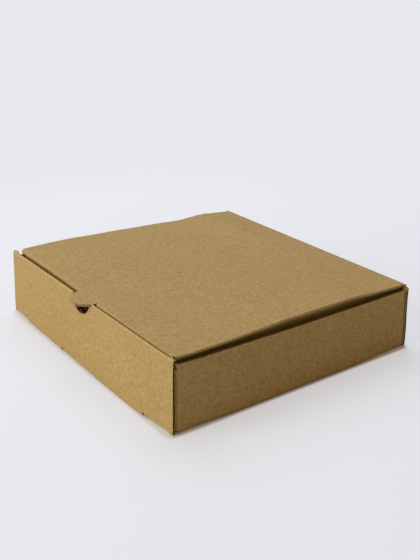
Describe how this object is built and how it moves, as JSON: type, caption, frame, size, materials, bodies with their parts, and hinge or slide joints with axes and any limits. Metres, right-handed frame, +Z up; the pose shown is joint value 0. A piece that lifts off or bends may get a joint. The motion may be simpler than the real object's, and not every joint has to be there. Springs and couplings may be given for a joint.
{
  "type": "pizza box",
  "caption": "Square flat carton folded from one sheet of brown corrugated board, with a hinged tuck-in lid, a thumb notch and a lid tab.",
  "frame": {"origin": "centre of the underside, on the surface that the box stands on", "axes": "+X to the right along the front wall, +Y from the front wall to the hinge, +Z up"},
  "size_m": [0.187, 0.194, 0.0458],
  "materials": {
    "kraft_board": "uncoated brown kraft liner, matt, with fine fibre mottle and open fluted cut edges"
  },
  "bodies": {
    "tray": {"tray": "kraft_board"},
    "lid": {"lid": "kraft_board"}
  },
  "joints": [
    {"name": "lid_hinge", "type": "hinge", "parent": "tray", "child": "lid", "pos_m": [0, 0.09275, 0.04285], "axis": [-1, 0, 0], "range_deg": [0, 180]}
  ]
}
